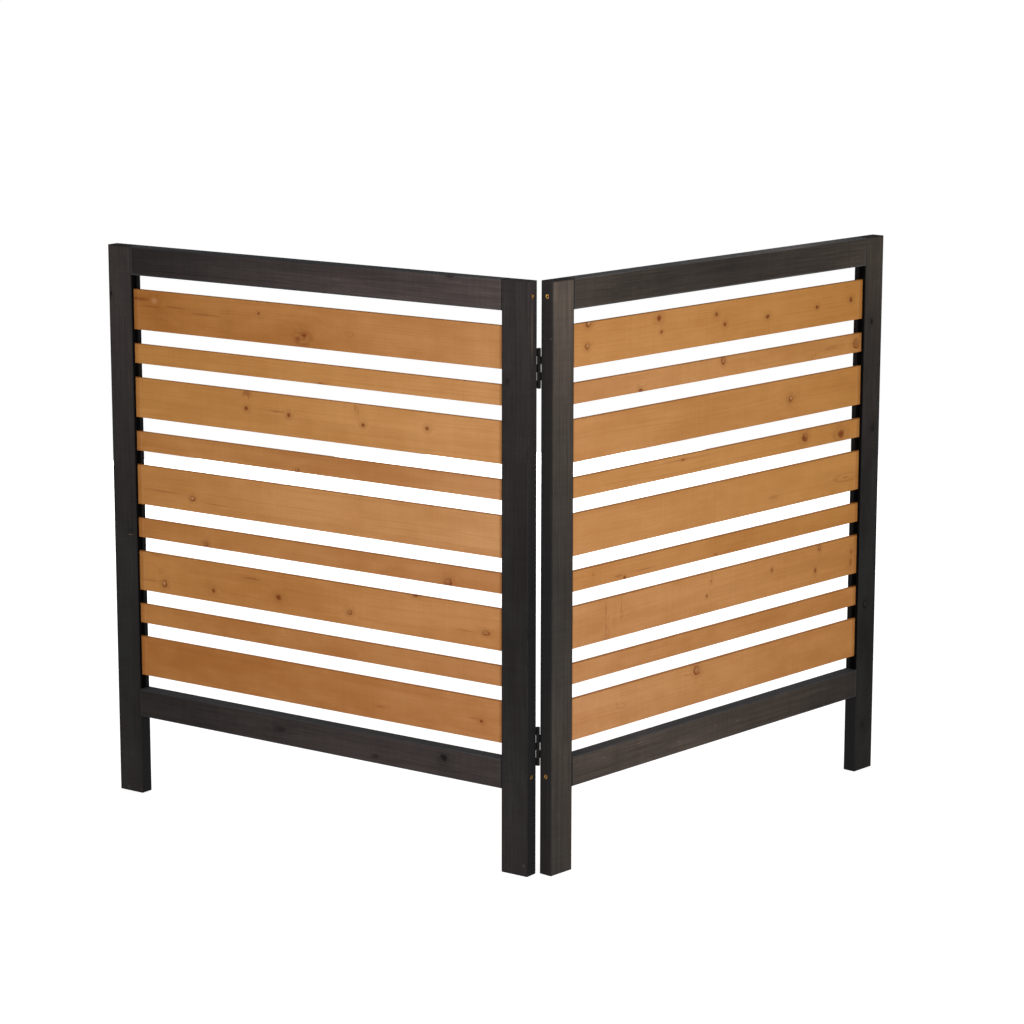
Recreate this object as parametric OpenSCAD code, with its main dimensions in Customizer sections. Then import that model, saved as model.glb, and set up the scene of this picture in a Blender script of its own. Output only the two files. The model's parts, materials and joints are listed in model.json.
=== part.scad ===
// Two slatted wooden panels hinged together, standing as a V
// Lengths are in millimetres and angles in degrees
// The floor is z = 0, the fold is on x = 0, and the hinged edge points towards -y

/* [Panels] */
// Height from the floor to the top of the stiles
screen_height = 965; // [800:5:1200]
// Width of one panel across its face
panel_width = 876; // [600:2:1100]
// Free height under the bottom rail
leg_height = 140; // [60:5:200]
// Angle between the panels as they stand
standing_angle = 97; // [60:1:140]

/* [Frame] */
// Width of a stile across the face of the panel
stile_width = 51; // [42:0.5:70]
// Height of the top and bottom rails
rail_height = 49; // [40:0.5:70]
// Thickness of the stiles and rails
frame_thickness = 24; // [20:0.5:32]
// Radius of the eased edges of the stiles and rails
frame_ease = 1; // [0.5:0.25:3]

/* [Slats] */
// Height of a wide slat
wide_slat_height = 69; // [50:0.5:80]
// Height of a narrow slat
narrow_slat_height = 33.5; // [20:0.5:45]
// Thickness of a slat
slat_thickness = 8; // [6:0.5:10]
// Radius of the eased edges of a slat
slat_ease = 1; // [0.25:0.25:2.5]
// Wood in front of the groove that holds the slat ends
front_lip = 6; // [3:0.25:8]
// Depth of the groove into the stile
groove_depth = 10; // [8:0.5:16]
// Distance that the groove runs on behind each rail end
groove_runout = 8; // [6:0.5:11]

/* [Hinges] */
// Distance from the top of the screen down to the middle of the upper hinge
upper_hinge_drop = 139; // [90:1:250]
// Distance from the top of the bottom rail up to the middle of the lower hinge
lower_hinge_rise = 24; // [15:1:150]
// Height of a hinge
hinge_height = 63.5; // [50:0.5:100]
// Number of knuckles on a hinge
knuckle_count = 5; // [3:2:7]
// Outside diameter of a knuckle
knuckle_diameter = 6.4; // [5.6:0.1:9]
// Diameter of the hinge pin
pin_diameter = 3; // [2:0.1:3.4]
// Diameter of the domed ends of the pin
pin_head_diameter = 4.8; // [4:0.1:5.4]
// Height of the domed ends of the pin
pin_head_height = 0.9; // [0.5:0.1:1.5]
// Distance from the pin axis to the edge of each panel
pin_to_edge = 1.5; // [1.2:0.1:5]
// Distance from the pin axis to the free edge of a leaf
leaf_width = 20; // [17:0.5:28]
// Thickness of a leaf
leaf_thickness = 1.5; // [1.2:0.1:2]
// Radius of the corners of a leaf
leaf_corner = 1.5; // [0.5:0.25:4]
// Screws in each leaf
leaf_screw_count = 3; // [2:1:4]
// Distance from the top and bottom of a leaf to its nearest screws
leaf_screw_end = 9.75; // [6:0.25:14]
// Distance from the free edge of the leaf to the nearer screws
leaf_screw_inset = 6; // [5:0.25:8]
// Distance that every second screw is set back towards the pin
leaf_screw_stagger = 3.5; // [0:0.25:4]

/* [Frame screws] */
// Diameter of the head
frame_screw_head = 8; // [6:0.25:10]
// Diameter of the shank
frame_screw_shank = 4; // [3:0.25:5]
// Depth of the head below the edge of the stile
frame_screw_sink = 0.8; // [0:0.1:2]
// Length of screw in the end of the rail
frame_screw_bite = 24; // [15:1:40]

/* [Hinge screws] */
// Diameter of the head
hinge_screw_head = 6.2; // [5.2:0.1:6.6]
// Diameter of the shank
hinge_screw_shank = 3.4; // [2.6:0.1:3.8]
// Length of the screw
hinge_screw_length = 16; // [12:0.5:18]

/* [Brads] */
// Diameter of a brad
brad_diameter = 1.2; // [0.9:0.1:1.6]
// Diameter of the head of a brad
brad_head_diameter = 2; // [1.8:0.1:2.8]
// Height of the head of a brad
brad_head_height = 0.5; // [0.3:0.1:0.8]
// Slat wood left ahead of the tip of a brad
brad_cover = 1.5; // [0.5:0.25:3]
// Distance from the top and bottom of a wide slat to its brads
brad_inset = 14; // [8:0.5:20]

/* [Clearances] */
// Play between a slat and each wall of its groove
slat_play = 0.2; // [0.05:0.05:0.5]
// Space between the end of a slat and the bottom of its groove
slat_end_space = 1; // [0.3:0.1:2]
// Play round the hinge pin
pin_play = 0.05; // [0.01:0.01:0.1]
// Space between neighbouring knuckles
knuckle_space = 0.16; // [0.06:0.02:0.4]
// Gap where the curled end of a knuckle comes back to its leaf
curl_gap = 0.3; // [0.1:0.05:0.6]
// Space between a knuckle and the edge of the other leaf
notch_space = 0.4; // [0.2:0.1:0.8]
// Play round the screws and brads in their holes
fastener_play = 0.05; // [0.01:0.01:0.1]
// Space past the tip of a screw in its hole
tip_space = 0.5; // [0.2:0.1:1]

/* [Hidden] */
// Slats in one panel, numbered from the top, odd ones wide and even ones narrow
slat_count = 9;
slat_numbers = [for (i = [1:slat_count]) i];
function slat_nodes(side) = [for (i = slat_numbers) str(side, "_slat_", i)];

// Colours of the stained frame, the slats, the hinges and the screws
frame_colour = "#322e2c";
slat_colour = "#b87d43";
hinge_colour = "#1d1c1b";
screw_colour = "#a9853f";

// Extra length of a cut past the face it opens on
cut_past = 1;
$fn = 48;

// Space between the rails that the slats fill
opening_bottom = leg_height + rail_height;
opening_top = screen_height - rail_height;
wide_slats = ceil(slat_count / 2);
narrow_slats = floor(slat_count / 2);
slat_stack = wide_slats * wide_slat_height + narrow_slats * narrow_slat_height;
slat_gap = (opening_top - opening_bottom - slat_stack) / (slat_count + 1);
rail_length = panel_width - 2 * stile_width;

// Groove and slat ends
groove_width = slat_thickness + 2 * slat_play;
groove_radius = groove_width / 2;
slat_start = stile_width - groove_depth + slat_end_space;
slat_length = panel_width - 2 * slat_start;
// Brads pass the middle of the part of the slat that is in the groove
brad_x = (slat_start + stile_width) / 2;
brad_length = frame_thickness - front_lip - slat_play - brad_cover;

// Hinges
knuckle_radius = knuckle_diameter / 2;
knuckle_pitch = hinge_height / knuckle_count;
pin_radius = pin_diameter / 2;
notch_edge = knuckle_radius + notch_space - pin_to_edge;
leaf_edge = leaf_width - pin_to_edge;
leaf_screw_pitch = (hinge_height - 2 * leaf_screw_end) / (leaf_screw_count - 1);
upper_hinge_z = screen_height - upper_hinge_drop;
lower_hinge_z = opening_bottom + lower_hinge_rise;
// Radius of the dome on each end of the pin
dome_radius = (pow(pin_head_diameter / 2, 2) + pow(pin_head_height, 2)) / (2 * pin_head_height);

frame_screw_length = stile_width - frame_screw_sink + frame_screw_bite;

// Place of the pin axis that centres the standing screen on the origin
lean = (180 - standing_angle) / 2;
ease_loss = frame_ease * (sin(lean) + cos(lean) - 1);
pin_to_front = (frame_thickness + knuckle_radius) * cos(lean) - pin_to_edge * sin(lean) - ease_loss;
pin_to_rear = (pin_to_edge + panel_width) * sin(lean) - knuckle_radius * cos(lean) - ease_loss;
pin_y = (pin_to_front - pin_to_rear) / 2;

function slat_height(i) = i % 2 == 1 ? wide_slat_height : narrow_slat_height;
function slat_bottom(i) =
    opening_top - i * slat_gap - ceil(i / 2) * wide_slat_height - floor(i / 2) * narrow_slat_height;

// Heights of the brads in one end of slat i
function brad_heights(i) =
    i % 2 == 1
    ? [slat_bottom(i) + brad_inset, slat_bottom(i) + wide_slat_height - brad_inset]
    : [slat_bottom(i) + narrow_slat_height / 2];

// Rectangle with rounded corners and its lower left corner at the origin
module rounded_rectangle(width, height, radius) {
    translate([radius, 0]) square([width - 2 * radius, height]);
    translate([0, radius]) square([width, height - 2 * radius]);
    for (x = [radius, width - radius], y = [radius, height - radius])
        translate([x, y]) circle(radius);
}

// Board along x with its long edges eased and square ends
module eased_board(length, thickness, height, radius) {
    rotate([90, 0, 90]) linear_extrude(length) rounded_rectangle(thickness, height, radius);
}

// Upright post with every edge eased
module eased_post(width, thickness, height, radius) {
    intersection() {
        linear_extrude(height) rounded_rectangle(width, thickness, radius);
        eased_board(width, thickness, height, radius);
        translate([0, thickness, 0]) rotate([90, 0, 0])
            linear_extrude(thickness) rounded_rectangle(width, height, radius);
    }
}

// Countersunk screw along x, with the face of its head at x = 0
module countersunk_screw(length, shank, head) {
    cone_length = (head - shank) / 2;
    recess_width = head / 9;
    recess_reach = head * 0.55;
    recess_taper = (recess_reach - recess_width) / cone_length;
    difference() {
        rotate([0, 90, 0]) {
            cylinder(h = cone_length, d1 = head, d2 = shank);
            cylinder(h = length - shank, d = shank);
            translate([0, 0, length - shank]) cylinder(h = shank, d1 = shank, d2 = shank / 4);
        }
        intersection() {
            translate([-cut_past, 0, 0]) rotate([0, 90, 0])
                cylinder(h = cut_past + cone_length, d1 = recess_reach + recess_taper * cut_past,
                         d2 = recess_width);
            for (turn = [0, 90]) rotate([turn, 0, 0])
                translate([-2 * cut_past, -head / 2, -recess_width / 2])
                    cube([3 * cut_past + cone_length, head, recess_width]);
        }
    }
}

// Hole for such a screw, whose head lies at the depth sink below the surface
module countersunk_hole(length, shank, head, sink) {
    cone_length = (head - shank) / 2;
    bore = shank + 2 * fastener_play;
    mouth = head + 2 * fastener_play;
    rotate([0, 90, 0]) {
        translate([0, 0, -sink - cut_past]) cylinder(h = sink + cut_past, d = mouth);
        cylinder(h = cone_length, d1 = mouth, d2 = bore);
        cylinder(h = length + tip_space, d = bore);
    }
}

// Places of a panel's frame screws, with x pointing into the panel
module at_frame_screws() {
    for (z = [leg_height + rail_height / 2, screen_height - rail_height / 2]) {
        translate([frame_screw_sink, frame_thickness / 2, z]) children();
        translate([panel_width - frame_screw_sink, frame_thickness / 2, z]) mirror([1, 0, 0]) children();
    }
}

module frame_screw_holes() {
    at_frame_screws()
        countersunk_hole(frame_screw_length, frame_screw_shank, frame_screw_head, frame_screw_sink);
}

// Places of the screws in both leaves of one panel, with x pointing into the back of the stile
module at_hinge_screws() {
    for (hinge_z = [lower_hinge_z, upper_hinge_z], i = [0:leaf_screw_count - 1]) {
        x = leaf_edge - leaf_screw_inset - (i % 2) * leaf_screw_stagger;
        z = hinge_z + (i - (leaf_screw_count - 1) / 2) * leaf_screw_pitch;
        translate([x, frame_thickness + leaf_thickness, z]) rotate([0, 0, -90]) children();
    }
}

module hinge_screw_holes() {
    at_hinge_screws() countersunk_hole(hinge_screw_length, hinge_screw_shank, hinge_screw_head, 0);
}

// Places of a panel's brads, with x pointing forwards from the back face
module at_brads() {
    for (i = slat_numbers, z = brad_heights(i), x = [brad_x, panel_width - brad_x])
        translate([x, frame_thickness, z]) rotate([0, 0, -90]) children();
}

// Brad along x with its head flush with x = 0, drawn larger all round by play for its hole
module brad(play) {
    start = play > 0 ? cut_past : 0;
    translate([-start, 0, 0]) rotate([0, 90, 0]) {
        cylinder(h = start + brad_length + play, d = brad_diameter + 2 * play);
        cylinder(h = start + brad_head_height + play, d = brad_head_diameter + 2 * play);
    }
}

module brad_holes() {
    at_brads() brad(fastener_play);
}

// Stopped groove in the inner edge of a stile, with round ends that lie behind the rails
module slat_groove() {
    low = opening_bottom - groove_runout;
    high = opening_top + groove_runout;
    translate([stile_width - groove_depth, 0, 0]) rotate([90, 0, 90])
        linear_extrude(groove_depth + cut_past) {
            translate([front_lip, low + groove_radius])
                square([groove_width, high - low - 2 * groove_radius]);
            for (z = [low + groove_radius, high - groove_radius])
                translate([front_lip + groove_radius, z]) circle(groove_radius);
        }
}

module grooved_stile() {
    difference() {
        eased_post(stile_width, frame_thickness, screen_height, frame_ease);
        slat_groove();
    }
}

module hinge_stile() {
    color(frame_colour) difference() {
        grooved_stile();
        frame_screw_holes();
        hinge_screw_holes();
        brad_holes();
    }
}

module outer_stile() {
    color(frame_colour) difference() {
        translate([panel_width, 0, 0]) mirror([1, 0, 0]) grooved_stile();
        frame_screw_holes();
        brad_holes();
    }
}

module rail(bottom) {
    color(frame_colour) difference() {
        translate([stile_width, 0, bottom])
            eased_board(rail_length, frame_thickness, rail_height, frame_ease);
        frame_screw_holes();
    }
}

module top_rail() {
    rail(opening_top);
}

module bottom_rail() {
    rail(leg_height);
}

// Slat i of a panel, with its ends in the grooves of the stiles
module slat(i) {
    color(slat_colour) difference() {
        translate([slat_start, front_lip + slat_play, slat_bottom(i)])
            eased_board(slat_length, slat_thickness, slat_height(i), slat_ease);
        brad_holes();
    }
}

module frame_screws() {
    color(screw_colour) at_frame_screws()
        countersunk_screw(frame_screw_length, frame_screw_shank, frame_screw_head);
}

module slat_brads() {
    color(hinge_colour) at_brads() brad(0);
}

module hinge_screws() {
    color(hinge_colour) at_hinge_screws()
        countersunk_screw(hinge_screw_length, hinge_screw_shank, hinge_screw_head);
}

// Height of the foot of knuckle k of the hinge that has its middle at hinge_z
function knuckle_foot(hinge_z, k) = hinge_z - hinge_height / 2 + k * knuckle_pitch;

// One leaf, screwed to the back of a hinge stile
// It has every second knuckle, from the lowest where first is 0 and from the next where it is 1
module hinge_leaf(hinge_z, first) {
    foot = knuckle_foot(hinge_z, 0);
    color(hinge_colour) difference() {
        union() {
            // Plate, with rounded corners on its free edge
            translate([0, frame_thickness + leaf_thickness, foot]) rotate([90, 0, 0])
                linear_extrude(leaf_thickness) translate([-pin_to_edge, 0]) {
                    square([leaf_width / 2, hinge_height]);
                    rounded_rectangle(leaf_width, hinge_height, leaf_corner);
                }
            translate([-pin_to_edge, frame_thickness + knuckle_radius, foot])
                cylinder(h = hinge_height, r = knuckle_radius);
        }
        // Room for the knuckles of the other leaf
        for (k = [1 - first:2:knuckle_count - 1]) {
            below = k == 0 ? cut_past : knuckle_space / 2;
            above = k == knuckle_count - 1 ? cut_past : knuckle_space / 2;
            translate([-pin_to_edge - knuckle_radius - cut_past, frame_thickness - cut_past,
                       knuckle_foot(hinge_z, k) - below])
                cube([knuckle_radius + cut_past + notch_edge + pin_to_edge,
                      knuckle_diameter + 2 * cut_past, knuckle_pitch + below + above]);
        }
        translate([-pin_to_edge, frame_thickness + knuckle_radius, foot - cut_past])
            cylinder(h = hinge_height + 2 * cut_past, r = pin_radius + pin_play);
        // Gap along the curled ends of the knuckles
        translate([-pin_to_edge, frame_thickness + leaf_thickness, foot - cut_past])
            cube([knuckle_radius + cut_past, curl_gap, hinge_height + 2 * cut_past]);
        hinge_screw_holes();
    }
}

// Pin with domed ends that rest on the outer knuckles
module hinge_pin(hinge_z) {
    color(hinge_colour) translate([-pin_to_edge, frame_thickness + knuckle_radius, hinge_z])
        for (up = [0, 1]) mirror([0, 0, up]) rotate_extrude() {
            square([pin_radius, hinge_height / 2]);
            translate([0, hinge_height / 2]) intersection() {
                square([pin_head_diameter / 2, pin_head_height]);
                translate([0, pin_head_height - dome_radius]) circle(dome_radius);
            }
        }
}

// Right panel in its place, turned about the pin axis
module on_right() {
    translate([0, pin_y, 0]) rotate([0, 0, lean])
        translate([pin_to_edge, -frame_thickness - knuckle_radius, 0]) children();
}

// Left panel in its place, the mirror image of the right one
module on_left() {
    mirror([1, 0, 0]) on_right() children();
}

on_left() outer_stile();  // left_outer_stile
on_left() hinge_stile();  // left_hinge_stile
on_left() top_rail();  // left_top_rail
on_left() bottom_rail();  // left_bottom_rail
for (i = slat_numbers) on_left() slat(i);
on_left() frame_screws();  // left_frame_screws
on_left() slat_brads();  // left_slat_brads

on_right() outer_stile();  // right_outer_stile
on_right() hinge_stile();  // right_hinge_stile
on_right() top_rail();  // right_top_rail
on_right() bottom_rail();  // right_bottom_rail
for (i = slat_numbers) on_right() slat(i);
on_right() frame_screws();  // right_frame_screws
on_right() slat_brads();  // right_slat_brads

on_left() hinge_leaf(upper_hinge_z, 0);  // upper_hinge_left_leaf
on_right() hinge_leaf(upper_hinge_z, 1);  // upper_hinge_right_leaf
on_left() hinge_pin(upper_hinge_z);  // upper_hinge_pin
on_left() hinge_leaf(lower_hinge_z, 0);  // lower_hinge_left_leaf
on_right() hinge_leaf(lower_hinge_z, 1);  // lower_hinge_right_leaf
on_left() hinge_pin(lower_hinge_z);  // lower_hinge_pin
on_left() hinge_screws();  // left_hinge_screws
on_right() hinge_screws();  // right_hinge_screws
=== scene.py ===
"""Looks of a free-standing screen: two slatted wooden panels that fold on two butt hinges.

Every CAD node keeps its mesh and gets a procedural material. Each board's pattern is worked out in
the board's own frame, so growth rings, knots and wear run through the wood and show on every side.
Lengths are in metres and angles in degrees unless a name or a comment says otherwise.
"""

import json
import math

import bpy
from mathutils import Matrix, Vector

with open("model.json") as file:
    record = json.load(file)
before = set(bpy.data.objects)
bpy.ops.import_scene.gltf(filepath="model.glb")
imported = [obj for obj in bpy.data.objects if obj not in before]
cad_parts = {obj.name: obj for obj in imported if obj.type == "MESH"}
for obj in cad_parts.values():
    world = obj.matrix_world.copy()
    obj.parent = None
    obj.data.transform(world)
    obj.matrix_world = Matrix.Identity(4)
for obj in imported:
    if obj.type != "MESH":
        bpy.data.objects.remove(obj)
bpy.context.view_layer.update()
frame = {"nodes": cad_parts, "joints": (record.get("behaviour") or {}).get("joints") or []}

# General
MM = 0.001
SIDES = ("left", "right")
HINGES = ("upper", "lower")
SLAT_NUMBERS = range(1, 10)
FOLD_JOINT = frame["joints"][0]
FOLD = Vector((*FOLD_JOINT["pos_m"][:2], 0.0))

# Angle between a panel and the line from left to right, as the panels stand
LEAN = 41.5

# Camera
CAMERA_PLACE = Vector((-0.5785, -5.14, 1.5806))
CAMERA_TURN = 6.2972
CAMERA_DOWN = 11.3707
CAMERA_ROLL = 0.056
CAMERA_LENS = 111.02
SENSOR_WIDTH = 36.0
CLIP_END = 200.0

# Lamps as (place, size, power, whether a gloss shows them) and what they point at
LAMPS = {
    "key": ((0.1, -3.0, 0.8), 1.4, 52, True),
    "left_side": ((-2.8, -1.8, 0.9), 1.3, 10, True),
    "right_side": ((2.8, -1.8, 0.9), 1.3, 10, True),
    "back": ((0.0, 3.4, 0.9), 2.0, 52, False),
}
LAMP_TARGET = (0, 0, 0.5)
WORLD_LIGHT = 0.34
WHITE = (1, 1, 1, 1)

# Floor
FLOOR_RADIUS = 80.0
FLOOR_SIDES = 64
FLOOR_WHITE = (235, 235, 235)
FLOOR_ROUGHNESS = 0.9
FLOOR_GLOW = 0.72

# Axes of a board in its panel: x along the grain, y across its face, z through it
LEVEL = Matrix(((1, 0, 0), (0, 0, 1), (0, -1, 0)))
UPRIGHT = Matrix(((0, 0, 1), (1, 0, 0), (0, 1, 0)))

# Boards of a panel's frame, with the edge of a stile that holds its groove
FRAME_PARTS = {"outer_stile": "low", "hinge_stile": "high", "top_rail": None, "bottom_rail": None}

# The part of a stile between its rails, and the reach and the rear wall of its groove
OPENING_LOW = 189 * MM
OPENING_HIGH = 916 * MM
GROOVE_REACH = 12 * MM
GROOVE_REAR = 14.5 * MM

# Painted shade on the inner edge of a stile, where its front lip and groove get little light: its
# strengths up to the groove's rear wall and behind it, where it starts and is full behind the front
# and before the back, and how softly it changes at the rear wall, across the stile and by the rails
PAINTED_SHADE_STRENGTHS = (0.95, 0.4)
PAINTED_SHADE_FRONT = (0.5 * MM, 1.2 * MM)
PAINTED_SHADE_BACK = (0.4 * MM, 1 * MM)
PAINTED_SHADE_REAR_STEP = 1 * MM
PAINTED_SHADE_SIDE_STEP = 2 * MM
PAINTED_SHADE_END_STEP = 3 * MM

# Painted shadow that a stile's front lip casts on an end of a slat beside it: how far from the end it
# reaches and how softly it stops. At the far end a painted pale line runs along the shadow's edge, and
# the strengths of both come last.
LIP_SHADOW_REACH = 17 * MM
LIP_SHADOW_STEP = 1 * MM
SHADOW_EDGE_PLACE = LIP_SHADOW_REACH + 2 * MM
SHADOW_EDGE_WIDTH = (2 * MM, 0.5 * MM)
LIP_SHADOW_STRENGTH = 0.35
SHADOW_EDGE_STRENGTH = 0.16

# Dark line where a rail meets the stile by the fold
SEAM_WIDTH = (2.0 * MM, 1.1 * MM)
SEAM_STRENGTH = 0.65

# How deep under a narrow face or an end its colour is still full, and how ragged a worn arris is
NARROW_STEP = 0.1 * MM
ARRIS_RAGGED = (0.35, 1.4)

# Looks of a slat: its colours, as red, green and blue from 0 to 255, and its strengths. Its paler,
# bluer near colour, at the end by the fold, is a painted sheen that fades towards the far end.
SLAT_LOOK = {
    "near": (207, 153, 105), "far": (210, 151, 88), "deep": (163, 100, 47), "gold": (208, 149, 68),
    "late": (142, 86, 38), "side": (202, 130, 62), "edge": (166, 98, 40),
    "knot": (110, 46, 18), "knot_and_shadow_edge_pale": (208, 160, 120),
    "blotch_strength": 0.42, "ring_width": 3.8 * MM, "ring_strength": 0.24,
    "fibre_strength": 0.22, "chatter_strength": 0.06, "fleck_strength": 0.14,
    "side_strength": 0.55, "round": 0.6 * MM, "edge_reach": 1.5 * MM, "edge_strength": 0.4,
    "roughness": 0.6, "specular": 0.03, "relief": 0.06 * MM,
}

# Looks of a rail, and of a stile, which is more neutral at its foot and warmer at its top. A rail's
# pale, bluish side colour is painted light on its narrow faces, and a stile's darker side colour is
# painted shade on its edges and ends.
RAIL_LOOK = {
    "near": (50, 45, 43), "far": (51, 47, 45), "deep": (38, 36, 35),
    "late": (24, 23, 22), "side": (67, 69, 73), "edge": (62, 59, 56),
    # The last colour below is the near-black painted shade of a stile's groove, also used for a rail's
    # dark seam
    "knot": (16, 15, 15), "knot_and_shadow_edge_pale": (152, 126, 102), "shade_and_seam": (9, 8, 8),
    "blotch_strength": 1.0, "ring_width": 4.0 * MM, "ring_strength": 0.28,
    "fibre_strength": 0.26, "chatter_strength": 0.1, "fleck_strength": 0.3,
    "side_strength": 0.9, "round": 3.0 * MM, "edge_reach": 1.4 * MM, "edge_strength": 0.25,
    "roughness": 0.8, "specular": 0.02, "relief": 0.09 * MM,
}
STILE_LOOK = {**RAIL_LOOK, "near": (48, 49, 49), "far": (52, 50, 48), "side": (37, 37, 38)}

# Faded stain with painted light on each panel's frame, painted light on the narrow faces of both
# panels' rails, and how patchy these are
FADED_STAIN_AND_LIGHT = {"left": (111, 98, 95), "right": (113, 101, 91)}
RAIL_EDGE_PAINTED_LIGHT = (135, 131, 130)
FADE_AND_LIGHT_PATCHES = (0.7, 1.3)

# How much fibres roughen the wood and growth rings smooth it, and how high a ring stands and how
# deep a fleck lies beside a fibre
FIBRE_ROUGHNESS = 0.12
RING_SMOOTHNESS = 0.08
RING_HEIGHT = 0.5
FLECK_DEPTH = 0.8
BEVEL_SAMPLES = 4

# Stain of each slat, from the top one down, and of every frame board: how deep it is at the end by
# the fold (for a stile, at the foot) and at the far end, and how golden it is
SLAT_STAINS = {
    "left": ((0.33, 0.8, 0.1), (0.22, 0.35, 0.2), (0.17, 0.33, 0.2), (0.43, 0.46, 0.0),
             (0.2, 0.27, 0.05), (0.55, 0.5, 0.0), (0.43, 0.52, 0.12), (0.42, 0.58, 0.0),
             (0.5, 0.65, 0.0)),
    "right": ((0.38, 0.42, 0.28), (0.32, 0.15, 0.1), (0.33, 0.38, 0.18), (0.16, 0.36, 0.25),
              (0.25, 0.31, 0.2), (0.5, 0.5, 0.2), (0.25, 0.46, 0.07), (0.4, 0.4, 0.03),
              (0.2, 0.42, 0.0)),
}
FRAME_STAIN = (0.5, 0.5, 0.0)

# Shares of faded stain with painted light at even steps along a frame board, on its wide faces and
# then on its narrow ones, where a rail shows painted light only. A stile starts at its foot and a rail
# at its end by the fold.
FRAME_FADE_AND_LIGHT_STOPS = {
    "left_outer_stile": ((0.1, 0.02, 0.05, 0.18, 0.26), (0.0, 0.0, 0.0)),
    "left_hinge_stile": ((0.1, 0.03, 0.02, 0.06, 0.13), (0.0, 0.0, 0.0, 0.12, 0.22)),
    "left_top_rail": ((0.51, 0.42, 0.31, 0.19, 0.06), (0.26, 0.03, 0.0, 0.0, 0.22)),
    "left_bottom_rail": ((0.24, 0.27, 0.2, 0.16, 0.04), (0.08, 0.1, 0.06, 0.05, 0.0)),
    "right_outer_stile": ((0.04, 0.0, 0.0, 0.14, 0.38), (0.0, 0.0, 0.0)),
    "right_hinge_stile": ((0.24, 0.3, 0.16, 0.33, 0.7), (0.05, 0.0, 0.0, 0.04, 0.04)),
    "right_top_rail": ((0.3, 0.23, 0.16, 0.22, 0.38), (0.33, 0.4, 0.64, 0.86, 0.42)),
    "right_bottom_rail": ((0.36, 0.48, 0.38, 0.29, 0.2), (0.03, 0.24, 0.1, 0.15, 0.06)),
}

# Strengths of a mark's dark core, pale heart and dark rim, how broken its core is, and how far it
# pushes the growth rings aside, by its kind. A strength that isn't given is 0.
MARK_KINDS = {
    "dark": {"Core": 0.82, "Rim": 0.2, "Swell": 2.2},
    "soft": {"Core": 0.5, "Rim": 0.1, "Swell": 1.6},
    "faint": {"Core": 0.28, "Rim": 0.1, "Swell": 1.6},
    "eye": {"Core": 0.5, "Heart": 0.6, "Rim": 1.0, "Swell": 2.2},
    "ring": {"Core": 0.4, "Heart": 0.1, "Rim": 1.0, "Swell": 2.2},
    "trace": {"Rim": 0.3, "Swell": 1.2},
    "pale": {"Heart": 0.36, "Rim": 0.12, "Swell": 2.2},
    "smear": {"Core": 0.8, "Broken": 1.0, "Swell": 1.6},
    "stain": {"Core": 0.3, "Broken": 0.3},
    "flush": {"Core": 0.16, "Broken": 0.5},
    "line": {"Core": 0.42, "Broken": 0.15},
    "crack": {"Core": 0.6, "Broken": 0.35},
    "chip": {"Heart": 0.7},
    "scratch": {"Heart": 0.4},
    "rub": {"Heart": 0.1},
}

# Marks of each slat as (kind, along, across, half length, half height) in millimetres, from the
# slat's end by the fold and from its lower edge
LEFT_MARKS = {
    1: [("pale", 735, 50.5, 19, 14), ("soft", 770, 53.5, 34, 4.5), ("line", 690, 44, 34, 2.2),
        ("line", 742, 42, 30, 2.2), ("line", 625, 37, 46, 2.2), ("dark", 507, 49, 4.5, 3.5),
        ("trace", 503, 44, 7, 5), ("smear", 419, 17, 26, 18), ("dark", 411, 20, 8, 3.5),
        ("soft", 424, 13, 9, 7), ("trace", 416, 17, 26, 17), ("trace", 316, 29, 11, 5),
        ("flush", 722, 28, 52, 20), ("flush", 580, 30, 24, 44)],
    2: [("soft", 378, 1.5, 7, 3)],
    3: [("soft", 536, 65, 13, 8), ("line", 532, 61, 4, 10), ("line", 542, 63, 4, 9),
        ("dark", 537, 39, 6, 5.5), ("line", 471, 40, 26, 2), ("dark", 446, 36, 6, 5.5),
        ("crack", 306, 61, 1.3, 9), ("crack", 300, 56, 1.3, 9), ("dark", 290, 35, 5.5, 5),
        ("dark", 160, 42.5, 5.5, 5)],
    4: [("eye", 430, 3.5, 5, 3.5)],
    5: [("eye", 659, 23, 7, 5.5), ("line", 724, 28, 52, 1.5), ("line", 600, 18, 44, 1.3)],
    6: [("ring", 631, 5.5, 6, 4.5), ("ring", 119, 6, 9, 7.5), ("soft", 117, 5, 6, 5)],
    7: [("eye", 727, 17.5, 7, 7), ("line", 760, 20, 28, 1.8), ("trace", 735, 40, 5, 4),
        ("dark", 616, 20, 6, 5.5), ("trace", 622, 25, 9, 5), ("dark", 473, 27, 8.5, 7.5),
        ("line", 529, 52, 28, 3.2), ("ring", 321.5, 22, 6, 5), ("soft", 321.5, 22, 5, 4),
        ("dark", 185, 68.5, 8, 3.5),
        ("stain", 745, 66, 18, 3), ("ring", 44, 26, 9, 4.5), ("line", 84, 24, 28, 1.2)],
    9: [("line", 259, 23, 13, 2.4), ("dark", 53, 30, 5.5, 4), ("line", 66, 33, 16, 1.2)],
}
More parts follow.
